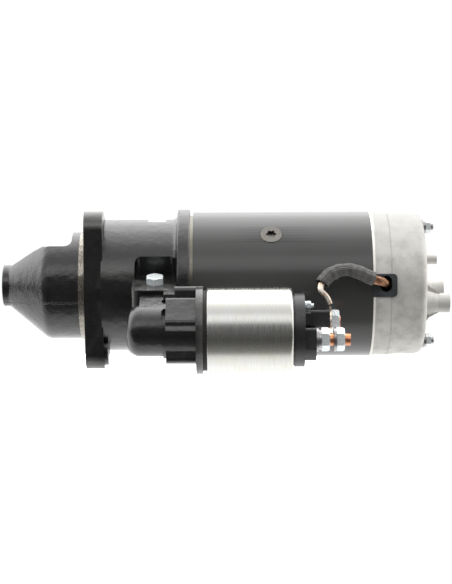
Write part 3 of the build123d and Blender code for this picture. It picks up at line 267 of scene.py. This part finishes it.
def zinc_plate(name, brushed, tones):
    """Zinc plating, drawn round the can or plain on the small parts, with a faint yellow bloom."""
    paint = Paint(name)
    bloom = paint.ramp(paint.noise(16 * MM, detail=4), 0.35, 0.7)
    silver = paint.colours(bloom, *tones)
    stretch = (1.0, 0.03, 0.03) if brushed else (1.0, 1.0, 1.0)
    lines = paint.noise(0.7 * MM if brushed else 1.6 * MM, detail=5, stretch=stretch)
    toned = paint.colours(paint.ramp(lines, 0.3, 0.75, 0.0, 0.22), silver, (0.36, 0.355, 0.33))
    worn = paint.colours(paint.math("MULTIPLY", paint.edges(), 0.4), toned, (0.66, 0.655, 0.63))
    rough = paint.ramp(lines, 0.3, 0.7, 0.2, 0.32)
    paint.bump(lines, 0.0025 * MM, 0.2)
    return paint.finish(worn, rough, 1.0 if brushed else 0.35)


def machined_steel(name, light, dark, rust=0.12):
    """Turned or drawn steel with fine tool marks and a little oil and rust."""
    paint = Paint(name)
    marks = paint.noise(1.4 * MM, detail=4, stretch=(6.0, 1.0, 1.0))
    oil = paint.ramp(paint.noise(5 * MM, detail=5), 0.4, 0.7)
    steel = paint.colours(paint.ramp(marks, 0.3, 0.7), light, dark)
    brown = paint.colours(paint.math("MULTIPLY", oil, rust * 3), steel, (0.13, 0.085, 0.05))
    rough = paint.ramp(marks, 0.3, 0.7, 0.26, 0.42)
    paint.bump(marks, 0.02 * MM, 0.5)
    return paint.finish(brown, rough, 1.0)


def copper(name, fresh, tarnish):
    """Bare copper with darker tarnish in patches."""
    paint = Paint(name)
    patch = paint.ramp(paint.noise(3.5 * MM, detail=6), 0.38, 0.66)
    fine = paint.noise(0.7 * MM, detail=3)
    colour = paint.colours(patch, fresh, tarnish)
    rough = paint.ramp(fine, 0.3, 0.7, 0.24, 0.44)
    paint.bump(fine, 0.03 * MM, 0.5)
    return paint.finish(colour, rough, 1.0)


def moulded(name, dark, light, grain_size, low_rough, high_rough, relief=0.05):
    """Moulded plastic, rubber, carbon or gasket material with a fine grain and dust."""
    paint = Paint(name)
    grain = paint.noise(grain_size, detail=5)
    dust = paint.ramp(paint.noise(8 * MM, detail=6), 0.5, 0.75, 0.0, 0.6)
    base = paint.colours(paint.ramp(grain, 0.3, 0.7), dark, light)
    lifted = tuple(channel * 1.8 + 0.012 for channel in light)
    colour = paint.colours(dust, base, lifted)
    rough = paint.ramp(grain, 0.3, 0.7, low_rough, high_rough)
    paint.bump(grain, relief * MM, 0.6)
    return paint.finish(colour, rough, 0.0)


YARN_LEAN = 0.32
YARN_SCALE = 0.17


def woven_sleeve():
    """Varnished black braid: crossing yarns laid round and along the tube's own surface."""
    paint = Paint("woven_sleeve")
    surface = paint.node("ShaderNodeTexCoord").outputs["UV"]
    waves = []
    for lean in (1.0, -1.0):
        turned = paint.node("ShaderNodeMapping")
        turned.inputs["Rotation"].default_value = (0.0, 0.0, lean * YARN_LEAN)
        paint.link(surface, turned.inputs["Vector"])
        wave = paint.node("ShaderNodeTexWave", wave_type="BANDS", bands_direction="X")
        wave.inputs["Scale"].default_value = YARN_SCALE
        wave.inputs["Distortion"].default_value = 1.2
        wave.inputs["Detail"].default_value = 2.0
        wave.inputs["Detail Scale"].default_value = 1.4
        paint.link(turned.outputs["Vector"], wave.inputs["Vector"])
        waves.append(wave.outputs["Fac"])
    weave = paint.math("MAXIMUM", waves[0], waves[1])
    fade = paint.ramp(paint.noise(5 * MM, detail=5), 0.35, 0.7)
    dark = paint.colours(weave, (0.008, 0.008, 0.008), (0.085, 0.083, 0.080))
    colour = paint.colours(paint.math("MULTIPLY", fade, 0.5), dark, (0.11, 0.105, 0.098))
    rough = paint.ramp(weave, 0.0, 1.0, 0.62, 0.42)
    paint.bump(weave, 0.35 * MM, 0.9)
    return paint.finish(colour, rough, 0.0, Specular_IOR_Level=0.5)


materials = {
    "housing_black": housing_paint(),
    "body_black": body_paint(),
    "cover_aluminium": cast_aluminium(),
    "zinc": zinc_plate("zinc_small", False, ((0.84, 0.92, 0.95), (0.74, 0.80, 0.82))),
    "zinc_can": zinc_plate("zinc_drawn", True, ((0.50, 0.50, 0.495), (0.49, 0.48, 0.42))),
    "steel": machined_steel("turned_steel", (0.42, 0.42, 0.42), (0.27, 0.27, 0.275)),
    "plate_edge": machined_steel("plate_edge", (0.24, 0.235, 0.20), (0.11, 0.105, 0.09), 0.1),
    "pole_screw": machined_steel("dull_steel", (0.155, 0.152, 0.143), (0.085, 0.083, 0.079), 0.1),
    "iron": machined_steel("plain_iron", (0.16, 0.155, 0.15), (0.085, 0.08, 0.078), 0.2),
    "bronze": copper("sintered_bronze", (0.50, 0.36, 0.19), (0.30, 0.20, 0.11)),
    "copper": copper("bare_copper", (0.78, 0.36, 0.20), (0.42, 0.18, 0.09)),
    "strands": copper("copper_strands", (0.46, 0.25, 0.15), (0.17, 0.09, 0.055)),
    "tinned": copper("tinned_copper", (0.80, 0.76, 0.68), (0.66, 0.44, 0.28)),
    "phenolic": moulded(
        "phenolic", (0.011, 0.011, 0.012), (0.020, 0.020, 0.021), 1.0 * MM, 0.32, 0.46
    ),
    "gasket_rubber": moulded(
        "gasket", (0.012, 0.011, 0.010), (0.028, 0.025, 0.02), 1.5 * MM, 0.6, 0.8
    ),
    "grommet_rubber": moulded(
        "grommet", (0.020, 0.024, 0.028), (0.036, 0.042, 0.048), 1.8 * MM, 0.5, 0.7
    ),
    "carbon": moulded("carbon", (0.03, 0.028, 0.026), (0.06, 0.056, 0.05), 0.8 * MM, 0.45, 0.6),
    "sleeve_weave": woven_sleeve(),
}
slot_of = {part["node"]: part["material_slot"] for part in record["subparts"]}
special = {
    "intermediate_plate": "plate_edge",
    "solenoid_can": "zinc_can",
    "cable_lug": "tinned",
    "pole_screws": "pole_screw",
}
for name, obj in nodes.items():
    finish = materials[special.get(name, slot_of[name])]
    if not obj.material_slots:
        obj.data.materials.append(finish)
    for holder in obj.material_slots:
        holder.material = finish


# ------------------------------------------------------------------ the motor lead
# The route of the motor lead, in millimetres, from the lug to inside the cover
LEAD_ROUTE = [
    (196.4, -76.32, -16.43),
    (194.6, -75.62, -10.63),
    (187.6, -74.42, -4.63),
    (193.2, -71.42, 4.37),
    (200.6, -70.0, 9.4),
    (209.2, -69.5, 11.2),
    (218.4, -69.2, 9.4),
    (229.0, -68.8, 4.2),
    (242.3, -64.6, -0.4),
    (242.3, -50.0, -0.4),
]


def smooth_line(points, steps):
    """Evenly spaced points on a NURBS line through the route, read from the curve itself."""
    curve = bpy.data.curves.new("route", "CURVE")
    curve.dimensions = "3D"
    curve.resolution_u = 24
    spline = curve.splines.new("NURBS")
    spline.points.add(len(points) - 1)
    for target, point in zip(spline.points, points):
        target.co = (*[value * MM for value in point], 1.0)
    spline.order_u = 3
    spline.use_endpoint_u = True
    holder = bpy.data.objects.new("route", curve)
    mesh = bpy.data.meshes.new_from_object(holder)
    line = [vertex.co.copy() for vertex in mesh.vertices]
    bpy.data.objects.remove(holder)
    reach = [0.0]
    for before, after in zip(line, line[1:]):
        reach.append(reach[-1] + (after - before).length)
    even = []
    index = 0
    for step in range(steps + 1):
        goal = reach[-1] * step / steps
        while index < len(line) - 2 and reach[index + 1] < goal:
            index += 1
        share = (goal - reach[index]) / max(reach[index + 1] - reach[index], 1e-9)
        even.append(line[index].lerp(line[index + 1], min(max(share, 0.0), 1.0)))
    return even


def frames_along(line):
    """(point, side, up) at each point, with the sides carried along without twisting."""
    frames = []
    side = Vector((0, 1, 0))
    for index, point in enumerate(line):
        ahead = line[min(index + 1, len(line) - 1)] - line[max(index - 1, 0)]
        ahead.normalize()
        side = (side - ahead * side.dot(ahead)).normalized()
        frames.append((point, side.copy(), ahead.cross(side)))
    return frames


TUBE_ROUND = 40.0
TUBE_ALONG = 52.0


def tube_mesh(name, rings, closed_ends=True):
    """A tube from rings of points, with a UV map of TUBE_ROUND by TUBE_ALONG units."""
    count = len(rings[0])
    vertices = [point for ring in rings for point in ring]
    faces = []
    for row in range(len(rings) - 1):
        for column in range(count):
            after = (column + 1) % count
            low, high = row * count, (row + 1) * count
            faces.append((low + column, low + after, high + after, high + column))
    if closed_ends:
        faces.append(tuple(reversed(range(count))))
        faces.append(tuple((len(rings) - 1) * count + column for column in range(count)))
    mesh = bpy.data.meshes.new(name)
    mesh.from_pydata(vertices, [], faces)
    layer = mesh.uv_layers.new(name="surface")
    for face in mesh.polygons:
        columns = [mesh.loops[corner].vertex_index % count for corner in face.loop_indices]
        wraps = max(columns) - min(columns) > count / 2
        for corner in face.loop_indices:
            row, column = divmod(mesh.loops[corner].vertex_index, count)
            around = column + (count if wraps and column == 0 else 0)
            layer.data[corner].uv = (around * TUBE_ROUND / count, row * TUBE_ALONG / len(rings))
    for face in mesh.polygons:
        face.use_smooth = len(face.vertices) == 4
    obj = bpy.data.objects.new(name, mesh)
    bpy.context.scene.collection.objects.link(obj)
    return obj


# How deep the sleeve's marks are, as shares of its radius
PINCH = 0.10
FOLD = 0.045
RIDGE = 0.018
CRUMPLE = 0.05


def cloth_radius(share, angle):
    """The outer radius as a share: full at both ends, pinched at the hump, with soft folds."""
    pinch = 1.0 - PINCH * math.exp(-(((share - 0.50) / 0.16) ** 2))
    fade = math.exp(-(((share - 0.45) / 0.3) ** 2))
    folds = FOLD * math.sin(share * 34.0 + 1.6 * math.sin(angle)) * fade
    ridges = RIDGE * math.sin(angle * 9.0 + share * 5.0)
    place = Vector((math.cos(angle) * 1.3, math.sin(angle) * 1.3, share * 9.0))
    return pinch + folds + ridges + CRUMPLE * noise.noise(place)


SLEEVE_RADIUS = 5.7 * MM
SLEEVE_WALL = 0.7 * MM
SLEEVE_FLATTENING = 0.92
SLEEVE_SIDES = 72
SLEEVE_SPAN = (0.215, 0.735)


def make_sleeve(line):
    """The woven sleeve: an open tube with a real wall, turned in at both ends."""
    first = int(SLEEVE_SPAN[0] * (len(line) - 1))
    last = int(SLEEVE_SPAN[1] * (len(line) - 1))
    frames = frames_along(line)[first : last + 1]
    outer, inner = [], []
    for index, (point, side, up) in enumerate(frames):
        share = index / (len(frames) - 1)
        outer_ring, inner_ring = [], []
        for column in range(SLEEVE_SIDES):
            angle = 2 * math.pi * column / SLEEVE_SIDES
            radius = SLEEVE_RADIUS * cloth_radius(share, angle)
            outward = side * (math.cos(angle) * SLEEVE_FLATTENING) + up * math.sin(angle)
            outer_ring.append(point + outward * radius)
            inner_ring.append(point + outward * (radius - SLEEVE_WALL))
        outer.append(outer_ring)
        inner.append(inner_ring)
    rings = [inner[0], *outer, *reversed(inner), inner[0]]
    sleeve = tube_mesh("lead_sleeve", rings, closed_ends=False)
    sleeve.data.materials.append(materials["sleeve_weave"])
    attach(sleeve, BODY)
    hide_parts("cable_sleeve")


TAIL_END = 0.30
TAIL_SIDES = 28


def make_tail(line):
    """The tinned end of the conductor: flat where it leaves the lug, rounder in the sleeve."""
    last = int(TAIL_END * (len(line) - 1))
    rings = []
    for index, (point, side, up) in enumerate(frames_along(line)[: last + 1]):
        share = index / last
        width = (1.9 + 0.9 * share) * MM
        depth = (1.1 + 1.2 * share) * MM
        ring = []
        for column in range(TAIL_SIDES):
            angle = 2 * math.pi * column / TAIL_SIDES
            lobe = 1.0 + 0.05 * math.cos(angle * 7.0 + share * 6.0)
            across = math.copysign(abs(math.cos(angle)) ** 0.7, math.cos(angle))
            through = math.copysign(abs(math.sin(angle)) ** 0.7, math.sin(angle))
            ring.append(point + up * (across * width * lobe) + side * (through * depth * lobe))
        rings.append(ring)
    tail = tube_mesh("lead_tinned_end", rings)
    tail.data.materials.append(materials["tinned"])
    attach(tail, BODY)
    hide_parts("cable_conductor")


STRAND_START = 0.66
STRAND_RADIUS = 0.48 * MM
STRAND_SIDES = 7
STRAND_TWIST = 0.045
STRAND_RINGS = ((1, 0.0), (6, 1.05), (12, 2.1), (16, 2.95))


def make_strands(line):
    """The bare copper strands between the sleeve and the grommet, twisted round each other."""
    frames = frames_along(line)
    first = int(STRAND_START * (len(line) - 1))
    used = frames[first:]
    vertices, faces = [], []
    for count, distance in STRAND_RINGS:
        for strand in range(count):
            start = 2 * math.pi * strand / count
            base = len(vertices)
            for index, (point, side, up) in enumerate(used):
                twist = start + index * STRAND_TWIST + distance * 0.3
                spread = distance * (1.0 + 0.10 * math.sin(index * 0.13 + strand * 2.1)) * MM
                centre = point + side * (math.cos(twist) * spread) + up * (math.sin(twist) * spread)
                for corner in range(STRAND_SIDES):
                    angle = 2 * math.pi * corner / STRAND_SIDES
                    offset = side * math.cos(angle) + up * math.sin(angle)
                    vertices.append(centre + offset * STRAND_RADIUS)
            for row in range(len(used) - 1):
                low = base + row * STRAND_SIDES
                high = low + STRAND_SIDES
                for corner in range(STRAND_SIDES):
                    after = (corner + 1) % STRAND_SIDES
                    faces.append((low + corner, low + after, high + after, high + corner))
            last = base + (len(used) - 1) * STRAND_SIDES
            faces.append(tuple(base + corner for corner in reversed(range(STRAND_SIDES))))
            faces.append(tuple(last + corner for corner in range(STRAND_SIDES)))
    mesh = bpy.data.meshes.new("lead_strands")
    mesh.from_pydata(vertices, [], faces)
    for face in mesh.polygons:
        face.use_smooth = len(face.vertices) == 4
    strands = bpy.data.objects.new("lead_strands", mesh)
    bpy.context.scene.collection.objects.link(strands)
    strands.data.materials.append(materials["strands"])
    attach(strands, BODY)


LEAD_STEPS = 260
lead_line = smooth_line(LEAD_ROUTE, LEAD_STEPS)
make_sleeve(lead_line)
make_tail(lead_line)
make_strands(lead_line)


# ------------------------------------------------------------------ stage, light and camera
FLOOR_DROP = 0.30
FLOOR_HALF = 9.0
low_corner, high_corner = cad_bounds
floor_height = low_corner[2] - FLOOR_DROP


def make_floor():
    """A plain pale floor far below the motor, whose light comes from the studio instead."""
    paint = Paint("pale_floor")
    cloud = paint.noise(0.8, detail=3)
    colour = paint.colours(cloud, (0.97, 0.97, 0.97), (1.0, 1.0, 1.0))
    pale = paint.finish(colour, 0.9, 0.0)
    paint.shader.inputs["Emission Color"].default_value = (1.0, 1.0, 1.0, 1.0)
    paint.shader.inputs["Emission Strength"].default_value = 1.0
    mesh = bpy.data.meshes.new("floor")
    near, far = -FLOOR_HALF, FLOOR_HALF
    corners = [(near, near), (far, near), (far, far), (near, far)]
    mesh.from_pydata([(x, y, floor_height) for x, y in corners], [], [(0, 1, 2, 3)])
    floor = bpy.data.objects.new("floor", mesh)
    bpy.context.scene.collection.objects.link(floor)
    mesh.materials.append(pale)
    floor.visible_glossy = False
    floor.visible_diffuse = False
    floor.visible_shadow = False


# How bright the studio is by elevation in degrees, where 0 is the horizon in front of the motor,
# 90 overhead and 180 behind it
STUDIO = [
    (-180, 1.5),
    (-144, 1.8),
    (-118, 2.0),
    (-88, 1.7),
    (-76, 1.5),
    (-60, 0.30),
    (-25, 0.10),
    (0, 0.18),
    (16, 0.20),
    (28, 1.7),
    (38, 1.9),
    (50, 1.1),
    (70, 1.5),
    (88, 2.8),
    (112, 3.9),
    (138, 3.1),
    (160, 1.7),
    (180, 1.5),
]
STUDIO_PEAK = 4.0
SEEN_WHITE = 1.05


def make_world():
    """A white studio whose brightness follows the elevation, white where the camera looks at it."""
    world = bpy.data.worlds.new("studio")
    bpy.context.scene.world = world
    world.use_nodes = True
    tree = world.node_tree
    background = tree.nodes["Background"]
    coordinates = tree.nodes.new("ShaderNodeTexCoord")
    split = tree.nodes.new("ShaderNodeSeparateXYZ")
    tree.links.new(coordinates.outputs["Generated"], split.inputs[0])
    frontward = tree.nodes.new("ShaderNodeMath")
    frontward.operation = "MULTIPLY"
    frontward.inputs[1].default_value = -1.0
    tree.links.new(split.outputs["Y"], frontward.inputs[0])
    elevation = tree.nodes.new("ShaderNodeMath")
    elevation.operation = "ARCTAN2"
    tree.links.new(split.outputs["Z"], elevation.inputs[0])
    tree.links.new(frontward.outputs[0], elevation.inputs[1])
    share = tree.nodes.new("ShaderNodeMapRange")
    share.inputs["From Min"].default_value = -math.pi
    share.inputs["From Max"].default_value = math.pi
    tree.links.new(elevation.outputs[0], share.inputs["Value"])
    ramp = tree.nodes.new("ShaderNodeValToRGB")
    ramp.color_ramp.interpolation = "EASE"
    stops = ramp.color_ramp.elements
    while len(stops) < len(STUDIO):
        stops.new(0.5)
    for stop, (angle, level) in zip(stops, STUDIO):
        stop.position = (angle + 180) / 360
    for stop, (angle, level) in zip(stops, STUDIO):
        grey = level / STUDIO_PEAK
        stop.color = (grey, grey, grey, 1.0)
    tree.links.new(share.outputs["Result"], ramp.inputs["Fac"])
    lit = tree.nodes.new("ShaderNodeMath")
    lit.operation = "MULTIPLY"
    lit.inputs[1].default_value = STUDIO_PEAK
    tree.links.new(ramp.outputs["Color"], lit.inputs[0])
    seen = tree.nodes.new("ShaderNodeLightPath")
    choose = tree.nodes.new("ShaderNodeMix")
    tree.links.new(seen.outputs["Is Camera Ray"], choose.inputs["Factor"])
    tree.links.new(lit.outputs[0], choose.inputs["A"])
    choose.inputs["B"].default_value = SEEN_WHITE
    tree.links.new(choose.outputs["Result"], background.inputs["Strength"])
    background.inputs["Color"].default_value = (1.0, 1.0, 1.0, 1.0)


def softbox(name, place, aim, width, height, power):
    """A rectangular soft light at a place, turned towards the aim point."""
    data = bpy.data.lights.new(name, "AREA")
    data.shape = "RECTANGLE"
    data.size = width
    data.size_y = height
    data.energy = power
    lamp = bpy.data.objects.new(name, data)
    lamp.location = place
    lamp.rotation_euler = (Vector(aim) - Vector(place)).to_track_quat("-Z", "Y").to_euler()
    bpy.context.scene.collection.objects.link(lamp)


CAMERA_PLACE = (0.1144, -1.460, -0.00635)
CAMERA_LENS = 108.23
SENSOR_WIDTH = 36.0
CAMERA_ROLL = -0.3


def make_camera():
    """A long lens square to the shaft, level with the motor, rolled by a third of a degree."""
    data = bpy.data.cameras.new("camera")
    data.lens = CAMERA_LENS
    data.sensor_width = SENSOR_WIDTH
    camera = bpy.data.objects.new("camera", data)
    camera.location = CAMERA_PLACE
    camera.rotation_euler = (math.radians(90.0), 0.0, 0.0)
    camera.rotation_euler.rotate_axis("Z", math.radians(CAMERA_ROLL))
    bpy.context.scene.collection.objects.link(camera)
    bpy.context.scene.camera = camera


middle = [(low + high) / 2 for low, high in zip(low_corner, high_corner)]
make_floor()
make_world()
softbox("front_light", (-0.6, -1.5, 0.9), middle, width=0.9, height=0.5, power=0.8)
make_camera()
bpy.context.scene.view_settings.view_transform = "Standard"
